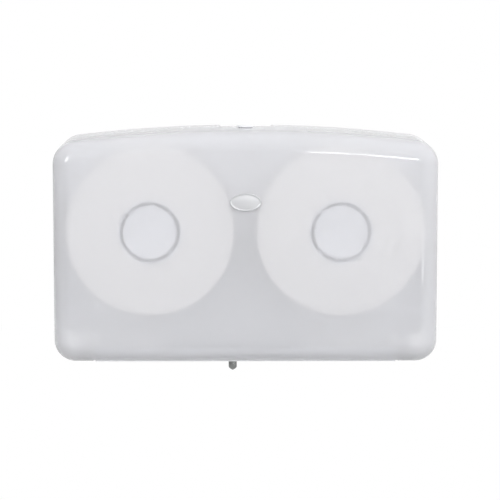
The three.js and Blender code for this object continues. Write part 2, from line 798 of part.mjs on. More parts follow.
place("back_plate", backPlate(), whitePlastic);
place("front_cover", frontCover(), coverPlastic);
place("badge", badge(), badgeMetal);
place("outlet_tray", outletTray(), whitePlastic);
place("selector_slide", selectorSlide(), greyPlastic);
place("slide_knob", slideKnob(), chrome);
place("knob_nut", knobNut(), steel);
place("lock_barrel", lockBarrel(), greyPlastic);
place("lock_nut", lockNut(), greyPlastic);
place("lock_plug", lockPlug(), greyPlastic);
place("lock_cam", lockCam(), greyPlastic);
place("cam_screw", camScrew(), steel);
place("lock_catch", lockCatch(), whitePlastic);
const screwGroups = [
  { name: "tray_screw", places: trayScrews, face: trayRearDepth + trayWall },
  { name: "catch_screw", places: catchScrews, face: plateThickness + seatGap + catchFootThickness },
  { name: "hinge_screw", places: bracketScrews, face: plateThickness + seatGap + bracketFoot },
];
for (const { name, places, face } of screwGroups) {
  places.forEach(([x, z], i) => place(`${name}_${i + 1}`, panScrew(x, z, face), steel));
}
for (const { name, sign } of sides) {
  place(`${name}_axle`, axle(sign), steel);
  place(`${name}_axle_screw`, axleScrew(sign), steel);
  place(`${name}_hub`, hub(sign), whitePlastic);
  place(`${name}_core`, core(sign), card);
  place(`${name}_paper_roll`, paperRoll(sign), paper);
  place(`${name}_tear_strip`, tearStrip(sign), steel);
  place(`${name}_hinge_bracket`, hingeBracket(sign), whitePlastic);
  place(`${name}_hinge_pin`, hingePin(sign), steel);
}

export default dispenser;
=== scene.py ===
"""Double roll toilet paper dispenser: the finish of every surface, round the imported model."""
import json
import math

import bmesh
import bpy
from mathutils import Matrix, Vector, noise


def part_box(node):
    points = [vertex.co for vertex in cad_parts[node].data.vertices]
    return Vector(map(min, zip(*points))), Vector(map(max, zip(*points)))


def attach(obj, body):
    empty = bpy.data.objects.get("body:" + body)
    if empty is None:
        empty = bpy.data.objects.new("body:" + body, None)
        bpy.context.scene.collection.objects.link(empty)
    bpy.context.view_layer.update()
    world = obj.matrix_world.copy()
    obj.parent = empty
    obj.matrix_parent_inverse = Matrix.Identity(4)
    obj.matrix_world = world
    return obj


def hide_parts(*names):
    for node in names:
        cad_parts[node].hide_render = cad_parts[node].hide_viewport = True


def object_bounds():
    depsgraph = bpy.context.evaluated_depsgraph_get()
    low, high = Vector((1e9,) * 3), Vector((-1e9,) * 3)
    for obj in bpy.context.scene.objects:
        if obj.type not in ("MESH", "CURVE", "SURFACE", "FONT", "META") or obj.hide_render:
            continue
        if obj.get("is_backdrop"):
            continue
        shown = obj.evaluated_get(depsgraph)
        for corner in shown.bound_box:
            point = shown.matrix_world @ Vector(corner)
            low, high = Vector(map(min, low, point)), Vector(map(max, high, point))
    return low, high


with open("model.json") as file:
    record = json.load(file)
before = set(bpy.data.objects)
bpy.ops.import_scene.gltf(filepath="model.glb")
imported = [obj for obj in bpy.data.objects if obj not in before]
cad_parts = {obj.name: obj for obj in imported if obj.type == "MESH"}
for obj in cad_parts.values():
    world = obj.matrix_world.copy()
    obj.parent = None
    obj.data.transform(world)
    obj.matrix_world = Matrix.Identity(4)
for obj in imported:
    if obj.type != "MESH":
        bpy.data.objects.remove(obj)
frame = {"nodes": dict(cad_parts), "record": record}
cad_low, cad_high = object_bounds()

# Camera, a little above the middle of the front, as the photograph was taken.
# Its long lens keeps the sides of the cover almost straight.
VIEW_TURN = math.radians(-0.4)
VIEW_RISE = math.radians(5.5)
VIEW_DISTANCE = 2.2
VIEW_LEVEL = 0.0195
LENS_MM = 122
FRAME_PIXELS = 500
AIM_PIXELS_LEFT = 4.3
AIM_PIXELS_UP = 18.0

aim = Vector((0, cad_low.y, VIEW_LEVEL))
back = Vector((
    math.sin(VIEW_TURN) * math.cos(VIEW_RISE),
    -math.cos(VIEW_TURN) * math.cos(VIEW_RISE),
    math.sin(VIEW_RISE),
))
lens = bpy.data.cameras.new("photo_camera")
lens.lens = LENS_MM
lens.shift_x = AIM_PIXELS_LEFT / FRAME_PIXELS
lens.shift_y = -AIM_PIXELS_UP / FRAME_PIXELS
camera = bpy.data.objects.new("photo_camera", lens)
camera.location = aim + back * VIEW_DISTANCE
camera.rotation_euler = (-back).to_track_quat("-Z", "Y").to_euler()
bpy.context.collection.objects.link(camera)
bpy.context.scene.camera = camera
bpy.context.scene.view_settings.view_transform = "Standard"


# Room: white all round, a pale floor well below the dispenser, and soft light from the upper front.
# The camera sees white all round. Gloss and plastic see a light front, and less behind and on the left.
class Field:
    """One value in a shader. Arithmetic on it adds Math nodes."""

    def __init__(self, finish, socket):
        self.finish, self.socket = finish, socket

    def combined(self, operation, *values):
        return self.finish.node("ShaderNodeMath", {"operation": operation}, values)

    def __add__(self, other):
        return self.combined("ADD", self, other)

    def __mul__(self, other):
        return self.combined("MULTIPLY", self, other)

    def __sub__(self, other):
        return self.combined("SUBTRACT", self, other)

    def __rsub__(self, other):
        return self.combined("SUBTRACT", other, self)

    __radd__ = __add__
    __rmul__ = __mul__

    def largest(self, other):
        return self.combined("MAXIMUM", self, other)


class Finish:
    """A node tree. Its node method adds any node and returns one output as a Field."""

    def __init__(self, tree):
        self.tree = tree
        tree.nodes.clear()

    def node(self, kind, settings=None, inputs=(), output=0):
        made = self.tree.nodes.new(kind)
        for key, value in (settings or {}).items():
            setattr(made, key, value)
        for key, value in inputs.items() if isinstance(inputs, dict) else enumerate(inputs):
            if isinstance(value, Field):
                self.tree.links.new(value.socket, made.inputs[key])
            else:
                made.inputs[key].default_value = value
        return Field(self, made.outputs[output] if made.outputs else None)

    def by_way(self, scattered, **straight):
        """A level for scattered light and others for rays of a way that no rough surface has scattered."""
        level = scattered
        unscattered = (1 - self.node("ShaderNodeLightPath", output="Diffuse Depth")).largest(0)
        for way, own in straight.items():
            of_this_way = self.node("ShaderNodeLightPath", output=f"Is {way} Ray")
            level = level + of_this_way * unscattered * (own - level)
        return level


# Scattered light: the level all round, what the upper front adds, and what the left and the rear lack.
WORLD_LIGHT = 0.78
FRONT_LIGHT = 1.29
FRONT_LIGHT_WAY = Vector((0.34, -0.85, 0.40))
LESS_FROM_LEFT = 0.2
LESS_FROM_BEHIND = 0.05
# In gloss and through the plastic: the level in front, and what the rear and the left lack.
BEHIND_IN_GLOSS = 0.12
LEFT_IN_GLOSS = 0.4
FRONT_THROUGH_PLASTIC = 0.85
BEHIND_THROUGH_PLASTIC = 0.2
LEFT_THROUGH_PLASTIC = 0.4
# The floor: its place and size, its grey in scattered light, and the whites that each kind of ray sees.
FLOOR_DROP = 1.8
FLOOR_SIZE = 24.0
FLOOR_GREY = 0.24
FLOOR_SHOWN = 0.75
FLOOR_IN_GLOSS = 0.7
FLOOR_THROUGH_PLASTIC = 0.15

world = bpy.data.worlds.new("studio")
bpy.context.scene.world = world
world.use_nodes = True
studio = Finish(world.node_tree)
direction = studio.node("ShaderNodeTexCoord", output="Generated")
to_right, to_rear, up = (studio.node("ShaderNodeSeparateXYZ", None, (direction,), axis) for axis in "XYZ")
behind, left = to_rear.largest(0), (0 - to_right).largest(0)
towards = (to_right * FRONT_LIGHT_WAY.x + to_rear * FRONT_LIGHT_WAY.y + up * FRONT_LIGHT_WAY.z).largest(0)
strength = studio.by_way(
    WORLD_LIGHT + towards * towards * FRONT_LIGHT - left * LESS_FROM_LEFT - behind * LESS_FROM_BEHIND,
    Camera=1, Glossy=1 - behind * BEHIND_IN_GLOSS - left * LEFT_IN_GLOSS,
    Transmission=FRONT_THROUGH_PLASTIC - behind * BEHIND_THROUGH_PLASTIC - left * LEFT_THROUGH_PLASTIC,
)
white = studio.node("ShaderNodeBackground", None, {"Color": (1, 1, 1, 1), "Strength": strength})
studio.node("ShaderNodeOutputWorld", None, {"Surface": white})

bm = bmesh.new()
bmesh.ops.create_grid(bm, x_segments=1, y_segments=1, size=FLOOR_SIZE / 2)
bmesh.ops.translate(bm, vec=(0, 0, cad_low.z - FLOOR_DROP), verts=bm.verts)
floor_mesh = bpy.data.meshes.new("floor")
bm.to_mesh(floor_mesh)
bm.free()
floor = bpy.data.objects.new("floor", floor_mesh)
bpy.context.collection.objects.link(floor)
floor_finish = bpy.data.materials.new("pale_floor")
floor_finish.use_nodes = True
pale = Finish(floor_finish.node_tree)
matt = pale.node("ShaderNodeBsdfDiffuse", None, {"Color": (FLOOR_GREY, FLOOR_GREY, FLOOR_GREY, 1)})
glow = pale.by_way(0, Camera=FLOOR_SHOWN, Glossy=FLOOR_IN_GLOSS, Transmission=FLOOR_THROUGH_PLASTIC)
shown = pale.node("ShaderNodeEmission", None, {"Strength": glow})
both = pale.node("ShaderNodeAddShader", None, (matt, shown))
pale.node("ShaderNodeOutputMaterial", None, {"Surface": both})
floor_mesh.materials.append(floor_finish)
floor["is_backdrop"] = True

# Lamps for the highlights: name, place, width, height, tilt and watts.
# All look at the middle of the cover's front. They light gloss, and no rough or see-through surface.
LAMPS = (
    ("key_right", (0.43, -1.75, 0.42), 0.24, 0.08, 22, 3.0),
    ("key_tail", (0.22, -1.75, 0.31), 0.16, 0.04, 30, 0.8),
    ("spot_left", (-1.2, -1.6, 0.75), 0.5, 0.7, 0, 12),
    ("card_right", (0.95, -1.6, -0.22), 0.3, 0.07, 0, 0.45),
)
for name, place, wide, high, tilt, watts in LAMPS:
    light = bpy.data.lights.new(name, "AREA")
    light.shape, light.size, light.size_y, light.energy = "RECTANGLE", wide, high, watts
    lamp = bpy.data.objects.new(name, light)
    lamp.location = place
    lamp.visible_diffuse = lamp.visible_transmission = False
    looking = (aim - Vector(place)).to_track_quat("-Z", "Y").to_matrix()
    lamp.rotation_euler = (looking @ Matrix.Rotation(math.radians(tilt), 3, "Z")).to_euler()
    bpy.context.collection.objects.link(lamp)


# Back plate: one white moulding screwed to the wall, with a rim, four slots and two bosses for the axles.
# The CAD shape is right, so a copy of it is merged and its sharp edges are rounded as a mould leaves them.
def sockets_of(finish, values):
    """Sockets by name: functions are run to add their nodes, and a plain colour gets its alpha."""
    named = {}
    for key, value in values.items():
        value = value(finish) if callable(value) else value
        flat_colour = key.endswith("Color") and isinstance(value, tuple)
        named[key.replace("_", " ")] = (*value, 1) if flat_colour else value
    return named


def grain(scale, detail=3.0, stretch=(1, 1, 1), low=0.0, high=1.0):
    """A function that adds noise of so many lumps a metre, from low to high."""
    def noise_of(finish):
        spot = finish.node("ShaderNodeTexCoord", output="Object")
        laid = finish.node("ShaderNodeMapping", None, {"Vector": spot, "Scale": stretch})
        lumps = finish.node("ShaderNodeTexNoise", None, {"Vector": laid, "Scale": scale, "Detail": detail})
        return lumps * (high - low) + low
    return noise_of


# A colour Mix node's inputs for the share and the two colours, and its output for the colour.
MIX_SHARE, MIX_DARK, MIX_LIGHT, MIX_COLOUR = 0, 6, 7, 2


def mottled(dark, light, share):
    """A function that adds a colour between two, by another function's field."""
    def colour_of(finish):
        return finish.node("ShaderNodeMix", {"data_type": "RGBA"}, {
            MIX_SHARE: share(finish), MIX_DARK: (*dark, 1), MIX_LIGHT: (*light, 1),
        }, MIX_COLOUR)
    return colour_of


def substance(name, relief, relief_depth, **values):
    """A material of one Principled shader, whose bumps are relief_depth metres deep."""
    made = bpy.data.materials.new(name)
    made.use_nodes = True
    finish = Finish(made.node_tree)
    bumps = finish.node("ShaderNodeBump", None, {"Distance": relief_depth, "Height": relief(finish)})
    shader = finish.node("ShaderNodeBsdfPrincipled", None, {"Normal": bumps, **sockets_of(finish, values)})
    finish.node("ShaderNodeOutputMaterial", None, {"Surface": shader})
    return made


record = frame["record"]
body_of = {node: body for body, nodes in record["behaviour"]["bodies"].items() for node in nodes}
slot_of = {part["node"]: part["material_slot"] for part in record["subparts"]}
SMOOTH_BELOW = math.radians(32)
MERGED_WITHIN = 1e-5
FLAT_WITHIN = math.radians(0.5)


def soften(bm, width, segments=2, least=SMOOTH_BELOW):
    """Rounds every edge that is sharper than least."""
    sharp = [edge for edge in bm.edges if len(edge.link_faces) == 2 and edge.calc_face_angle() > least]
    bmesh.ops.bevel(
        bm, geom=sharp, offset=width, offset_type="OFFSET", segments=segments, profile=0.5, affect="EDGES",
        material=-1, clamp_overlap=True,
    )


def finished(bm, name, node, finish, replaced=True):
    """Turns a bmesh into a piece that rides with a CAD node's body and, if it replaces it, hides it."""
    mesh = bpy.data.meshes.new(name)
    bm.to_mesh(mesh)
    bm.free()
    mesh.shade_smooth()
    mesh.set_sharp_from_angle(angle=SMOOTH_BELOW)
    mesh.materials.append(finish)
    piece = bpy.data.objects.new(name, mesh)
    bpy.context.collection.objects.link(piece)
    if replaced:
        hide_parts(node)
    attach(piece, body_of[node])
    return piece


def moulded_copy(node, name, width, finish):
    """A finer copy of a CAD node: one skin, flat faces whole, edges rounded."""
    bm = bmesh.new()
    bm.from_mesh(frame["nodes"][node].data)
    bmesh.ops.remove_doubles(bm, verts=bm.verts, dist=MERGED_WITHIN)
    bmesh.ops.dissolve_limit(
        bm, angle_limit=FLAT_WITHIN, verts=bm.verts, edges=bm.edges, use_dissolve_boundaries=False,
    )
    soften(bm, width)
    piece = finished(bm, name, node, finish)
    piece.modifiers.new("flat_faces_stay_flat", "WEIGHTED_NORMAL").keep_sharp = True


MOULD_GRAIN = 2200
MOULD_RELIEF = 0.00003
MOULD_EDGE = 0.0004
white_plastic = substance(
    "white_plastic", grain(MOULD_GRAIN, detail=2), MOULD_RELIEF,
    Base_Color=mottled((0.868, 0.876, 0.895), (0.908, 0.916, 0.932), grain(9, detail=4)),
    Roughness=grain(35, low=0.36, high=0.56), IOR=1.49,
)
moulded_copy("back_plate", "plate_moulding", MOULD_EDGE, white_plastic)


# Axles: steel rods of 16 mm, each held on its boss by one screw from behind.
# They are hidden inside the hubs, so the CAD shapes stay, with a zinc finish.
steel = substance(
    "zinc_steel", grain(600, stretch=(1, 1, 6)), relief_depth=0.00002, Metallic=1.0,
    Base_Color=mottled((0.50, 0.51, 0.53), (0.62, 0.63, 0.64), grain(160, detail=5)),
    Roughness=grain(240, low=0.26, high=0.44),
)
SIDES = (("left", -1), ("right", 1))
for side, _ in SIDES:
    for part in ("axle", "axle_screw"):
        frame["nodes"][f"{side}_{part}"].data.materials[0] = steel


# Hubs: white plastic spools with a closed front, a rear flange and four ribs that grip the core.
# Each turns on its axle and carries one roll.
JOINED_WITHIN = 1e-6


def turned(bm, profile, place, direction, steps=96, ring=False):
    """A round body from pairs of radius and distance along, about a line from place in a direction."""
    low = len(bm.verts)
    verts = [bm.verts.new((radius, 0, along)) for radius, along in profile]
    edges = [bm.edges.new(pair) for pair in zip(verts, verts[1:])]
    if ring:
        edges.append(bm.edges.new((verts[-1], verts[0])))
    bmesh.ops.spin(
        bm, geom=edges, cent=(0, 0, 0), axis=(0, 0, 1), dvec=(0, 0, 0), angle=math.tau, steps=steps,
        use_merge=True,
    )
    bm.verts.ensure_lookup_table()
    made = bm.verts[low:]
    turn = Vector((0, 0, 1)).rotation_difference(Vector(direction)).to_matrix().to_4x4()
    bmesh.ops.transform(bm, matrix=Matrix.Translation(place) @ turn, verts=made)
    bmesh.ops.remove_doubles(bm, verts=made, dist=JOINED_WITHIN)
    bmesh.ops.recalc_face_normals(bm, faces=bm.faces)


def brick(bm, low, high):
    """A block between two corners."""
    low, high = Vector(low), Vector(high)
    size = high - low
    shape = Matrix.Translation((low + high) / 2) @ Matrix.Diagonal((*size, 1))
    return bmesh.ops.create_cube(bm, size=1, matrix=shape)["verts"]


def axis_of(low, high):
    """The point at the wall from which a box's middle lies straight ahead."""
    return Vector(((low.x + high.x) / 2, 0, (low.z + high.z) / 2))


OUTWARD = (0, -1, 0)
HUB_WALL = 0.003
HUB_BORE = 0.0084
HUB_SLEEVE = 0.0119
HUB_FRONT_WALL = 0.006
HUB_RADIUS = 0.035
HUB_DISH = 0.0007
HUB_RIM = 0.004
HUB_RIB_REACH = 0.0394
HUB_RIB_WIDTH = 0.004
HUB_RIB_SETBACK = 0.006
HUB_RIBS = 4
HUB_EDGE = 0.0005

for side, _ in SIDES:
    low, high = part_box(f"{side}_hub")
    centre = axis_of(low, high)
    front, rear, flange = -low.y, -high.y, (high.x - low.x) / 2
    wall = rear + HUB_WALL
    bm = bmesh.new()
    turned(bm, [
        (0, front - HUB_DISH), (HUB_RADIUS - HUB_RIM, front - HUB_DISH), (HUB_RADIUS - HUB_RIM, front),
        (HUB_RADIUS, front), (HUB_RADIUS, wall), (flange, wall), (flange, rear),
        (HUB_RADIUS - HUB_WALL, rear), (HUB_RADIUS - HUB_WALL, front - HUB_WALL),
        (HUB_SLEEVE, front - HUB_WALL), (HUB_SLEEVE, rear), (HUB_BORE, rear),
        (HUB_BORE, front - HUB_FRONT_WALL), (0, front - HUB_FRONT_WALL),
    ], centre, OUTWARD)
    for rib in range(HUB_RIBS):
        verts = brick(
            bm, (HUB_RADIUS - HUB_WALL / 2, -front + HUB_RIB_SETBACK, -HUB_RIB_WIDTH / 2),
            (HUB_RIB_REACH, -wall + HUB_WALL / 2, HUB_RIB_WIDTH / 2),
        )
        turn = Matrix.Rotation(math.tau * (rib + 0.5) / HUB_RIBS, 4, "Y")
        bmesh.ops.transform(bm, matrix=Matrix.Translation(centre) @ turn, verts=verts)
    soften(bm, HUB_EDGE, segments=3)
    finished(bm, f"{side}_hub_spool", f"{side}_hub", white_plastic)


# Cores: card tubes in the middle of each roll, held by the ribs of the hubs.
# The card is rough, with fibres along the tube. Its colour is painted nearly white and a little blue,
# lighter than real card, to lift the shade that falls in the ring round each hub and keep that ring pale.
card = substance(
    "grey_card", grain(900, detail=6, stretch=(1, 0.25, 1)), relief_depth=0.00012,
    Base_Color=mottled(
        (0.89, 0.915, 0.945), (0.945, 0.96, 0.98), grain(420, detail=6, stretch=(1, 0.3, 1)),
    ),
    Roughness=0.92,
)
CORE_BORE = 0.040
FINE_EDGE = 0.0003
for side, _ in SIDES:
    low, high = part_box(f"{side}_core")
    centre = axis_of(low, high)
    outer = (high.x - low.x) / 2
    bm = bmesh.new()
    turned(
        bm, [(CORE_BORE, -high.y), (outer, -high.y), (outer, -low.y), (CORE_BORE, -low.y)],
        centre, OUTWARD, ring=True,
    )
    soften(bm, FINE_EDGE)
    finished(bm, f"{side}_card_tube", f"{side}_core", card)


# Paper rolls: two-ply creped tissue, wound tight, 222 mm across and 92 mm wide.
# The wound edges show fine rings where sheets stand a little proud, and the outside is creped.
ROLL_STEPS = 160
ROLL_RING_POINTS = 44
ROLL_RING_DEPTH = 0.0005
ROLL_RING_SCALE = 260
ROLL_RING_SEED = 3.1
ROLL_FACE_SEED = 9
ROLL_EDGE = 0.0022
ROLL_EDGE_MIDDLE = ROLL_EDGE * 0.3
ROLL_PLAY = 0.0003
SHEETS_SCALE = 900
CREPE_SCALE = 1500
CREPE_SHARE = 0.6
SHEETS_SHARE = 0.5


def tissue(name, centre):
    """Paper whose rings run round one roll's own axis."""
    def rings(finish):
        spot = finish.node("ShaderNodeTexCoord", output="Object")
        laid = finish.node("ShaderNodeMapping", None, {
            "Vector": spot, "Location": (-centre.x, 0, -centre.z), "Scale": (1, 0, 1),
        })
        radius = finish.node("ShaderNodeVectorMath", {"operation": "LENGTH"}, (laid,), "Value")
        return finish.node("ShaderNodeTexNoise", {"noise_dimensions": "1D"}, {
            "W": radius, "Scale": SHEETS_SCALE, "Detail": 4,
        })

    crepe = grain(CREPE_SCALE, stretch=(1, 0.1, 1))
    return substance(
        name, lambda finish: crepe(finish) * CREPE_SHARE + rings(finish) * SHEETS_SHARE,
        relief_depth=0.0003,
        Base_Color=mottled((0.888, 0.868, 0.834), (0.957, 0.94, 0.912), rings),
        Roughness=0.94, Sheen_Weight=0.15, Sheen_Roughness=0.5,
    )


for side, sign in SIDES:
    low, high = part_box(f"{side}_paper_roll")
    centre = axis_of(low, high)
    outer = (high.x - low.x) / 2
    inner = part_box(f"{side}_core")[1].x - centre.x + ROLL_PLAY
    reach = outer - ROLL_EDGE - inner

    def ring_line(face, inward):
        """One wound side, from the core outwards, with some sheets a little sunk."""
        line = []
        for step in range(ROLL_RING_POINTS + 1):
            radius = inner + reach * step / ROLL_RING_POINTS
            spot = (radius * ROLL_RING_SCALE, sign * ROLL_RING_SEED, face * ROLL_FACE_SEED)
            line.append((radius, face + inward * abs(noise.noise(spot)) * ROLL_RING_DEPTH))
        return line

    bm = bmesh.new()
    turned(bm, [
        *ring_line(-low.y, -1),
        (outer - ROLL_EDGE_MIDDLE, -low.y - ROLL_EDGE_MIDDLE), (outer, -low.y - ROLL_EDGE),
        (outer, -high.y + ROLL_EDGE), (outer - ROLL_EDGE_MIDDLE, -high.y + ROLL_EDGE_MIDDLE),
        *reversed(ring_line(-high.y, 1)),
    ], centre, OUTWARD, ROLL_STEPS, ring=True)
    finished(bm, f"{side}_tissue_roll", f"{side}_paper_roll", tissue(f"{side}_tissue", centre))


# Tray: a white moulding along the bottom that frames the two outlets, screwed to the plate.
# The grey selector slide runs in it on two ledges and shuts one outlet or the other.
grey_plastic = substance(
    "grey_plastic", grain(MOULD_GRAIN, detail=2), MOULD_RELIEF,
    Base_Color=mottled((0.70, 0.72, 0.75), (0.77, 0.79, 0.815), grain(22, detail=4)),
    Roughness=grain(60, low=0.34, high=0.5), IOR=1.49,
)
moulded_copy("outlet_tray", "tray_moulding", MOULD_EDGE, white_plastic)
moulded_copy("selector_slide", "slide_moulding", FINE_EDGE, grey_plastic)


# Catch: a small white bracket screwed high on the plate, in the middle.
# The lock's cam hooks behind it.
moulded_copy("lock_catch", "catch_moulding", FINE_EDGE, white_plastic)


# Tear strips: thin steel with stamped teeth, one at the outer end of each outlet.
# The paper is torn off against them.
BLADE_EDGE = 0.00008
for side, _ in SIDES:
    moulded_copy(f"{side}_tear_strip", f"{side}_tear_blade", BLADE_EDGE, steel)


# Knob: a turned and chromed stud that hangs below the slide, held by a nut above it.
# It is pulled left or right to move the slide.
chrome = substance(
    "chrome", grain(900, detail=2), relief_depth=0.000004, Metallic=1.0,
    Base_Color=mottled((0.20, 0.205, 0.205), (0.26, 0.265, 0.26), grain(220)),
    Roughness=grain(500, low=0.14, high=0.24),
)
UPWARD = (0, 0, 1)
KNOB_RADIUS = 0.0055
KNOB_NECK = 0.0042
KNOB_STUD = 0.002
KNOB_NECK_HEIGHT = 0.0012
KNOB_TIP = 0.006
KNOB_TIP_STEPS = 14
KNOB_TIP_POWER = 1.4
KNOB_SIDES = 64
SLIDE_GAP = 0.0003

low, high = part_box("slide_knob")
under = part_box("selector_slide")[0].z - SLIDE_GAP
profile = [
    (0, high.z), (KNOB_STUD, high.z), (KNOB_STUD, under), (KNOB_NECK, under),
    (KNOB_NECK, under - KNOB_NECK_HEIGHT), (KNOB_RADIUS, under - KNOB_NECK_HEIGHT),
]
for step in range(KNOB_TIP_STEPS):
    share = step / KNOB_TIP_STEPS
    radius = KNOB_RADIUS * math.cos(math.pi / 2 * share ** KNOB_TIP_POWER)
    profile.append((radius, low.z + KNOB_TIP * (1 - share)))
profile.append((0, low.z))
bm = bmesh.new()
turned(bm, profile, ((low.x + high.x) / 2, (low.y + high.y) / 2, 0), UPWARD, KNOB_SIDES)
soften(bm, FINE_EDGE)
finished(bm, "knob_turning", "slide_knob", chrome)
moulded_copy("knob_nut", "knob_hex", FINE_EDGE, steel)


# Hinge: two white brackets screwed low on the plate, with a headed steel pin each.
# The cover's lugs turn on the pins.
PIN_RADIUS = 0.002
PIN_HEAD = 0.0012
PIN_SIDES = 48
for side, sign in SIDES:
    moulded_copy(f"{side}_hinge_bracket", f"{side}_bracket_moulding", MOULD_EDGE, white_plastic)
    low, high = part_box(f"{side}_hinge_pin")
    middle = (low + high) / 2
    long = high.x - low.x
    head = (high.z - low.z) / 2
    bm = bmesh.new()
    turned(bm, [
        (0, 0), (head, 0), (head, PIN_HEAD), (PIN_RADIUS, PIN_HEAD), (PIN_RADIUS, long), (0, long),
    ], middle - Vector((sign * long / 2, 0, 0)), (sign, 0, 0), PIN_SIDES)
    soften(bm, FINE_EDGE)
    finished(bm, f"{side}_pin_turning", f"{side}_hinge_pin", steel)


# Screws: small zinc pan heads with a cross recess, into the plate.
# They hold the tray, the catch and the two hinge brackets.
def carved(bm, tool):
    """Cuts one bmesh out of another."""
    pair = []
    for name, shape in (("body", bm), ("tool", tool)):
        mesh = bpy.data.meshes.new(name)
        shape.to_mesh(mesh)
        shape.free()
        pair.append(bpy.data.objects.new(name, mesh))
        bpy.context.collection.objects.link(pair[-1])
    body, cutter = pair
    cut = body.modifiers.new("cut", "BOOLEAN")
    cut.operation, cut.solver, cut.object = "DIFFERENCE", "EXACT", cutter
    settled = body.evaluated_get(bpy.context.evaluated_depsgraph_get())
    whole = bmesh.new()
    whole.from_mesh(settled.to_mesh())
    settled.to_mesh_clear()
    for piece in pair:
        mesh = piece.data
        bpy.data.objects.remove(piece)
        bpy.data.meshes.remove(mesh)
    return whole


SCREW_SHANK = 0.0016
SCREW_HEAD = 0.0018
SCREW_RECESS = 0.0011
SCREW_CROSS = 0.0019
SCREW_CROSS_WIDTH = 0.0007
SCREW_SIDES = 32
SCREW_EDGE = 0.0002
# The head's rounded side: shares of its radius, and of its height below the top.
SCREW_DOME = ((1, 0.45), (0.9, 0.18), (0.65, 0))
for node in slot_of:
    if not node.startswith(("tray_screw", "catch_screw", "hinge_screw")):
        continue
    low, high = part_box(node)
    centre = axis_of(low, high)
    radius, front, rear = (high.x - low.x) / 2, -low.y, -high.y
    under = front - SCREW_HEAD
    bm = bmesh.new()
    turned(bm, [
        (0, rear), (SCREW_SHANK, rear), (SCREW_SHANK, under), (radius, under),
        *((radius * out, front - SCREW_HEAD * down) for out, down in SCREW_DOME), (0, front),
    ], centre, OUTWARD, SCREW_SIDES)
    soften(bm, SCREW_EDGE)
    # One arm of the cross after the other: both in one tool would overlap, and the cut would fail.
    for across, tall in ((SCREW_CROSS, SCREW_CROSS_WIDTH / 2), (SCREW_CROSS_WIDTH / 2, SCREW_CROSS)):
        tool = bmesh.new()
        brick(
            tool, (centre.x - across, -front - SCREW_RECESS, centre.z - tall),
            (centre.x + across, -front + SCREW_RECESS, centre.z + tall),
        )
        bm = carved(bm, tool)
    finished(bm, f"{node}_pan", node, steel)


# Cover: one deep shell of milky, see-through plastic about 2.6 mm thick, arched on top.
# It is moulded in one piece, glossy outside, with a finger notch behind the lock and an open underside.
COVER_WALL = 0.0026
CROWN_RADIUS = 1.93
TOP_CORNER = 0.031
BOTTOM_CORNER = 0.029
FRONT_EDGE = 0.025
TOP_FALL = 0.006
SIDE_FALL = 0.002
BOTTOM_RISE = 0.0013
CROWN_STEPS = 72
CORNER_STEPS = 16
EDGE_STEPS = 14
NOTCH_REAR_HALF = 0.036
NOTCH_FRONT_HALF = 0.0325
NOTCH_DEPTH = 0.0265
LOCK_DEPTH = 0.050
LOCK_HOLE = 0.0083
LOCK_CELL = 0.0125
LOCK_HOLE_SIDES = 48
RIM_ROUND = 0.0005
RIM_SHARP = math.radians(50)
OUTLET_CLEARANCE = 0.003
# How far a face has to look one way to count as rear, top or bottom, and how far those parts reach.
LOOKS_REAR = 0.9
LOOKS_UP = 0.9
LOOKS_DOWN = 0.3
TOPSIDE_REACH = 0.08
UNDERSIDE_MARGIN = 0.001

low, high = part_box("front_cover")
half, bottom, top, rear, front = high.x, low.z, high.z, high.y, low.y
tray_low, tray_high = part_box("outlet_tray")


def corners_of(drawn):
    """The vertices among what an extrusion has made."""
    return [part for part in drawn["geom"] if isinstance(part, bmesh.types.BMVert)]


bm = bmesh.new()
crown_level = top - CROWN_RADIUS
corner_x = half - TOP_CORNER
lean = math.asin(corner_x / (CROWN_RADIUS - TOP_CORNER))
corner_level = crown_level + (CROWN_RADIUS - TOP_CORNER) * math.cos(lean)
low_x, low_level = half - BOTTOM_CORNER, bottom + BOTTOM_CORNER
quarter = math.pi / 2
# Each arc: centre x, centre z, radius, the angle from +Z where it starts, its sweep and its steps.
arcs = (
    (0, crown_level, CROWN_RADIUS, -lean, 2 * lean, CROWN_STEPS),
    (corner_x, corner_level, TOP_CORNER, lean, quarter - lean, CORNER_STEPS),
    (low_x, low_level, BOTTOM_CORNER, quarter, quarter, CORNER_STEPS),
    (-low_x, low_level, BOTTOM_CORNER, 2 * quarter, quarter, CORNER_STEPS),
    (-corner_x, corner_level, TOP_CORNER, 3 * quarter, quarter - lean, CORNER_STEPS),
)
ends = []
for x, z, radius, start, sweep, steps in arcs:
    first = bm.verts.new((x + radius * math.sin(start), rear, z + radius * math.cos(start)))
    swept = bmesh.ops.spin(
        bm, geom=[first], cent=(x, 0, z), axis=(0, 1, 0), dvec=(0, 0, 0), angle=sweep, steps=steps,
    )
    ends.append((first, swept["geom_last"][0]))
for (_, last), (first, _) in zip(ends, ends[1:] + ends[:1]):
    if (last.co - first.co).length > MERGED_WITHIN:
        bm.edges.new((last, first))
bmesh.ops.remove_doubles(bm, verts=bm.verts, dist=MERGED_WITHIN)
bmesh.ops.contextual_create(bm, geom=bm.edges)
ahead = corners_of(bmesh.ops.extrude_face_region(bm, geom=bm.faces[:]))
bmesh.ops.translate(bm, vec=(0, front - rear, 0), verts=ahead)
middle_level = (top - TOP_FALL + bottom + BOTTOM_RISE) / 2
narrowed = Vector(((half - SIDE_FALL) / half, 1, (top - bottom - TOP_FALL - BOTTOM_RISE) / (top - bottom)))
for vert in ahead:
    vert.co.x *= narrowed.x
    vert.co.z = middle_level + (vert.co.z - (top + bottom) / 2) * narrowed.z
bmesh.ops.recalc_face_normals(bm, faces=bm.faces)
bmesh.ops.delete(bm, geom=[face for face in bm.faces if face.normal.y > LOOKS_REAR], context="FACES")
panel = min(bm.faces, key=lambda face: face.normal.y)
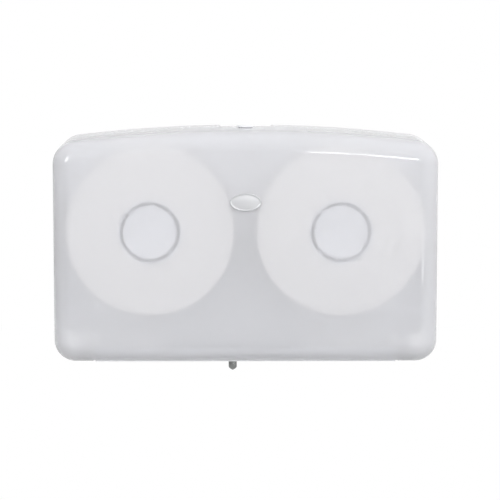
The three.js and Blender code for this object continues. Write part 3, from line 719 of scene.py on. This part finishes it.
bmesh.ops.bevel(
    bm, geom=panel.edges[:], offset=FRONT_EDGE, offset_type="OFFSET", segments=EDGE_STEPS, profile=0.5,
    affect="EDGES", material=-1,
)


def sliced(bm, faces, cuts):
    """Adds edges to some faces along planes given as (point, normal)."""
    for point, normal in cuts:
        parts = [face for face in bm.faces if faces(face)]
        edges = {edge for face in parts for edge in face.edges}
        verts = {vert for face in parts for vert in face.verts}
        bmesh.ops.bisect_plane(
            bm, geom=[*parts, *edges, *verts], dist=JOINED_WITHIN, plane_co=point, plane_no=normal,
        )


def underside(face):
    return face.normal.z < -LOOKS_DOWN and abs(face.calc_center_median().x) < low_x + UNDERSIDE_MARGIN


outlet_half = tray_high.x + OUTLET_CLEARANCE
outlet_front = tray_low.y - OUTLET_CLEARANCE
sliced(bm, underside, (
    ((outlet_half, 0, 0), (1, 0, 0)), ((-outlet_half, 0, 0), (1, 0, 0)), ((0, outlet_front, 0), (0, 1, 0)),
))
bmesh.ops.delete(bm, context="FACES", geom=[
    face for face in bm.faces if underside(face) and abs(face.calc_center_median().x) < outlet_half
    and face.calc_center_median().y > outlet_front
])


def topside(face):
    centre = face.calc_center_median()
    near = abs(centre.x) < TOPSIDE_REACH and centre.y > -LOCK_DEPTH - TOPSIDE_REACH
    return face.normal.z > LOOKS_UP and near


lean_in = NOTCH_REAR_HALF - NOTCH_FRONT_HALF
sliced(bm, topside, (
    *(((sign * NOTCH_REAR_HALF, rear, 0), (NOTCH_DEPTH, sign * -lean_in, 0)) for _, sign in SIDES),
    ((0, -NOTCH_DEPTH, 0), (0, 1, 0)),
    *(((sign * LOCK_CELL, 0, 0), (1, 0, 0)) for _, sign in SIDES),
    *(((0, -LOCK_DEPTH + sign * LOCK_CELL, 0), (0, 1, 0)) for _, sign in SIDES),
))
notch = []
cell = []
for face in filter(topside, bm.faces):
    centre = face.calc_center_median()
    if centre.y > -NOTCH_DEPTH and abs(centre.x) < NOTCH_FRONT_HALF + lean_in / 2:
        notch.append(face)
    if abs(centre.x) < LOCK_CELL and abs(centre.y + LOCK_DEPTH) < LOCK_CELL:
        cell.append(face)
rim = [
    edge for face in cell for edge in face.edges if sum(other in cell for other in edge.link_faces) == 1
]
slope = math.atan(-TOP_FALL / (front - rear))
lock_level = top - TOP_FALL * LOCK_DEPTH / -front
bmesh.ops.delete(bm, geom=cell, context="FACES_ONLY")
bmesh.ops.delete(bm, geom=[edge for edge in bm.edges if not edge.link_faces], context="EDGES")
rim = [edge for edge in rim if edge.is_valid]
hole = bmesh.ops.create_circle(
    bm, segments=LOCK_HOLE_SIDES, radius=LOCK_HOLE,
    matrix=Matrix.Translation((0, -LOCK_DEPTH, lock_level)) @ Matrix.Rotation(slope, 4, "X"),
)
hole_edges = list({edge for vert in hole["verts"] for edge in vert.link_edges})
bmesh.ops.bridge_loops(bm, edges=rim + hole_edges)
bmesh.ops.delete(bm, geom=notch, context="FACES")
bmesh.ops.remove_doubles(bm, verts=bm.verts, dist=JOINED_WITHIN)
bmesh.ops.recalc_face_normals(bm, faces=bm.faces)
bmesh.ops.solidify(bm, geom=bm.faces[:], thickness=COVER_WALL)
soften(bm, RIM_ROUND, least=RIM_SHARP)

milky = substance(
    "milky_plastic", grain(14, detail=1), relief_depth=0.00005,
    Base_Color=mottled((0.952, 0.956, 0.992), (0.965, 0.968, 0.998), grain(7)),
    Roughness=grain(40, detail=2, low=0.38, high=0.43), IOR=1.3, Transmission_Weight=0.53, Alpha=0.68,
    Coat_Weight=0.8, Coat_Roughness=0.05,
)
finished(bm, "cover_shell", "front_cover", milky)


# Lugs: an eye on each side for the hinge pins, of the cover's own plastic.
# Each stands on a block on the inside of the cover's bottom wall.
LUG_HALF = 0.004
LUG_RADIUS = 0.0042
LUG_BORE = 0.0023
LUG_SINK = 0.0004
LUG_BLOCK_DROP = 0.0002
HINGE_X, HINGE_Y, HINGE_Z = 0.218, -0.014, -0.1475
for side, sign in SIDES:
    centre = Vector((sign * HINGE_X, HINGE_Y, HINGE_Z))
    bm = bmesh.new()
    turned(bm, [
        (LUG_BORE, -LUG_HALF), (LUG_RADIUS, -LUG_HALF), (LUG_RADIUS, LUG_HALF), (LUG_BORE, LUG_HALF),
    ], centre, (1, 0, 0), PIN_SIDES, ring=True)
    brick(
        bm, (centre.x - LUG_HALF, HINGE_Y - LUG_RADIUS, bottom + COVER_WALL - LUG_SINK),
        (centre.x + LUG_HALF, HINGE_Y + LUG_RADIUS, HINGE_Z - LUG_BORE - LUG_BLOCK_DROP),
    )
    soften(bm, FINE_EDGE)
    finished(bm, f"{side}_cover_lug", "front_cover", milky, replaced=False)


# Badge: a bare oval plaque of satin silver, 41 mm wide, stuck on the cover's front.
# It is a disc with a raised rim and a slightly domed field.
BADGE_RIM = 0.0013
BADGE_SINK = 0.00045
BADGE_DOME_STEPS = 6
BADGE_DOME_RISE = 0.0003
BADGE_SIDES = 96
BADGE_SHARP = math.radians(40)

low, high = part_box("badge")
middle = (low + high) / 2
across, tall, thick = high.x - low.x, high.z - low.z, high.y - low.y
bm = bmesh.new()
bmesh.ops.create_circle(bm, cap_ends=True, segments=BADGE_SIDES, radius=0.5)
bmesh.ops.rotate(bm, cent=(0, 0, 0), matrix=Matrix.Rotation(quarter, 3, "X"), verts=bm.verts)
bmesh.ops.scale(bm, vec=(across, 1, tall), verts=bm.verts)
bmesh.ops.translate(bm, vec=(middle.x, high.y, middle.z), verts=bm.verts)
drawn = bmesh.ops.extrude_face_region(bm, geom=bm.faces[:])
bmesh.ops.translate(bm, vec=(0, -thick, 0), verts=corners_of(drawn))
bmesh.ops.recalc_face_normals(bm, faces=bm.faces)
face = min(bm.faces, key=lambda each: each.normal.y)
bmesh.ops.inset_region(bm, faces=[face], thickness=BADGE_RIM, depth=0)
bmesh.ops.inset_region(bm, faces=[face], thickness=BADGE_SINK, depth=-BADGE_SINK)
# Each step of the dome draws the field in and lifts it, by less and less towards the middle.
for to_go in range(BADGE_DOME_STEPS, 0, -1):
    drawn = bmesh.ops.extrude_face_region(bm, geom=[face])
    bmesh.ops.delete(bm, geom=[face], context="FACES_ONLY")
    verts = corners_of(drawn)
    face = next(part for part in drawn["geom"] if isinstance(part, bmesh.types.BMFace))
    share = (to_go - 0.5) / (to_go + 0.5)
    rise = BADGE_DOME_RISE * (2 * to_go - 1) / BADGE_DOME_STEPS ** 2
    bmesh.ops.scale(bm, vec=(share, 1, share), space=Matrix.Translation(-middle), verts=verts)
    bmesh.ops.translate(bm, vec=(0, -rise, 0), verts=verts)
soften(bm, FINE_EDGE, segments=3, least=BADGE_SHARP)
silver = substance(
    "satin_silver", grain(700, stretch=(0.08, 1, 1)), relief_depth=0.00001, Metallic=1.0,
    Base_Color=mottled((0.50, 0.505, 0.52), (0.59, 0.595, 0.61), grain(90, detail=4, stretch=(0.2, 1, 1))),
    Roughness=grain(300, stretch=(0.1, 1, 1), low=0.3, high=0.42),
)
finished(bm, "oval_plaque", "badge", silver)


# Lock: a round barrel through the cover's top, held by a nut, with a plug that a key turns.
# The plug carries the cam that hooks behind the catch on the back plate.
BARREL_RADIUS = 0.008
PLUG_RADIUS = 0.006
PLUG_GAP = 0.0003
LOCK_HEAD_HEIGHT = 0.0013
LOCK_SEAT = 0.0009
KEY_LONG = 0.008
KEY_WIDE = 0.0016
KEY_DEEP = 0.006
LOCK_SIDES = 64

low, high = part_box("lock_barrel")
place = ((low.x + high.x) / 2, (low.y + high.y) / 2, 0)
head = (high.x - low.x) / 2
bore = PLUG_RADIUS + PLUG_GAP
under_head = high.z - LOCK_HEAD_HEIGHT - LOCK_SEAT
bm = bmesh.new()
turned(bm, [
    (bore, high.z), (head, high.z), (head, under_head), (BARREL_RADIUS, under_head),
    (BARREL_RADIUS, low.z), (bore, low.z),
], place, UPWARD, LOCK_SIDES, ring=True)
soften(bm, MOULD_EDGE, segments=3)
finished(bm, "barrel_moulding", "lock_barrel", white_plastic)

low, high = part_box("lock_plug")
bm = bmesh.new()
profile = [(0, low.z), (PLUG_RADIUS, low.z), (PLUG_RADIUS, high.z), (0, high.z)]
turned(bm, profile, place, UPWARD, LOCK_SIDES)
soften(bm, MOULD_EDGE, segments=3)
tool = bmesh.new()
brick(
    tool, (place[0] - KEY_LONG / 2, place[1] - KEY_WIDE / 2, high.z - KEY_DEEP),
    (place[0] + KEY_LONG / 2, place[1] + KEY_WIDE / 2, high.z + KEY_WIDE),
)
finished(carved(bm, tool), "plug_moulding", "lock_plug", grey_plastic)
moulded_copy("lock_nut", "lock_hex", MOULD_EDGE, grey_plastic)
moulded_copy("lock_cam", "cam_moulding", MOULD_EDGE, grey_plastic)
frame["nodes"]["cam_screw"].data.materials[0] = steel

low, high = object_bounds()
